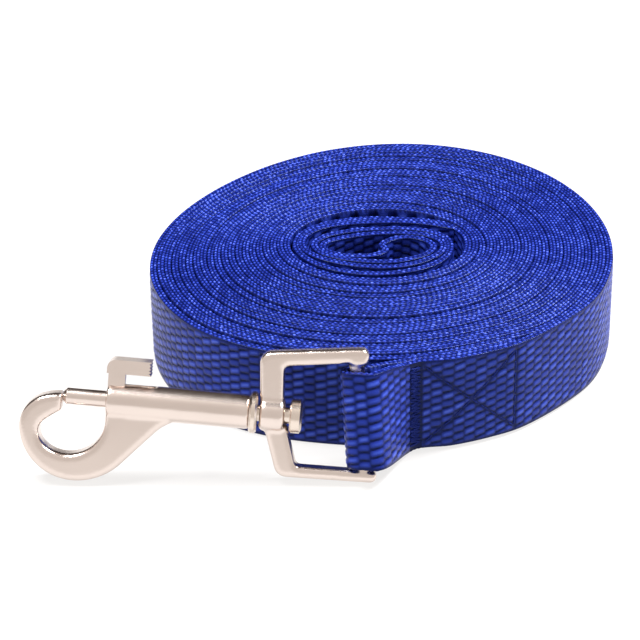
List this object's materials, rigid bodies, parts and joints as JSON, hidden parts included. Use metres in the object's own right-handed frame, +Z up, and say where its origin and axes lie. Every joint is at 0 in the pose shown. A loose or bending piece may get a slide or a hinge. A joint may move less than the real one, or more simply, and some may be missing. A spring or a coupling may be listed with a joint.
{
  "type": "training leash",
  "caption": "Flat webbing leash wound edge-on into a spiral coil, with a sewn hand loop inside and a swivel bolt snap sewn to its outer end.",
  "frame": {"origin": "coil axis where it meets the surface the coil stands on", "axes": "+Z up along the coil's axis; the snap lies along the -Y side with its hook towards -X"},
  "size_m": [0.1165, 0.1099, 0.0257],
  "materials": {
    "webbing": "matt woven nylon",
    "thread": "sewing thread",
    "cast_metal": "nickel plated, satin polished",
    "rivet_metal": "nickel plated, rough peened",
    "spring_steel": "drawn wire"
  },
  "bodies": {
    "webbing": {"webbing_coil": "webbing", "hand_loop": "webbing", "webbing_lead": "webbing", "webbing_tail": "webbing", "webbing_fold": "webbing", "bar_tack": "thread", "cross_stitch_falling": "thread", "cross_stitch_rising": "thread", "end_seam": "thread"},
    "eye": {"swivel_eye": "cast_metal"},
    "hook": {"hook_body": "cast_metal", "swivel_rivet": "rivet_metal", "bolt_spring": "spring_steel"},
    "bolt": {"bolt": "cast_metal", "thumb_trigger": "cast_metal"}
  },
  "joints": [
    {"name": "eye_pivot", "type": "hinge", "parent": "webbing", "child": "eye", "pos_m": [-0.00363, -0.05756, 0.00155], "axis": [-0.061, 0.2924, 0.9544], "range_deg": [0, 100]},
    {"name": "swivel_spin", "type": "hinge", "parent": "eye", "child": "hook", "pos_m": [-0.021, -0.0539, 0.01295], "axis": [0.9961, -0.0348, -0.0811], "continuous": true},
    {"name": "bolt_slide", "type": "slide", "parent": "hook", "child": "bolt", "axis": [0.9961, -0.0348, -0.0811], "range_m": [0, 0.005], "stiffness_N_per_m": 500, "springref_m": -0.006, "deforming": ["bolt_spring"]}
  ]
}
